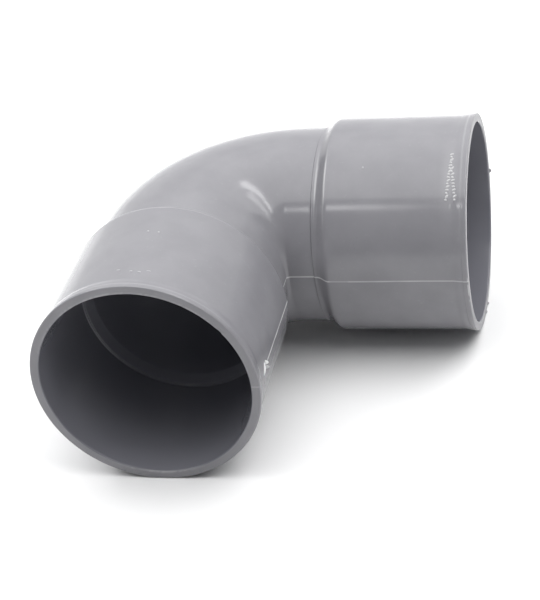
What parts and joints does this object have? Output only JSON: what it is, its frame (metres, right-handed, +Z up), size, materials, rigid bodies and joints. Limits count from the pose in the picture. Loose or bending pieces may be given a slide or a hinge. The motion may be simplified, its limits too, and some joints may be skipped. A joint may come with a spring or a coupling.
{
  "type": "pipe elbow",
  "caption": "Right-angled grey PVC elbow with a plain glue-in socket and tapered shoulder on each leg.",
  "frame": {"origin": "on the resting surface, under the middle of the bounding box", "axes": "+Z up, square to the plane of the two socket axes; the inlet mouth faces -Y and the outlet mouth faces +X"},
  "size_m": [0.124, 0.124, 0.0698],
  "materials": {
    "grey_pvc": "semi-gloss moulded rigid PVC"
  },
  "bodies": {
    "root": {"bend_body": "grey_pvc", "inlet_socket": "grey_pvc", "outlet_socket": "grey_pvc"}
  },
  "joints": []
}
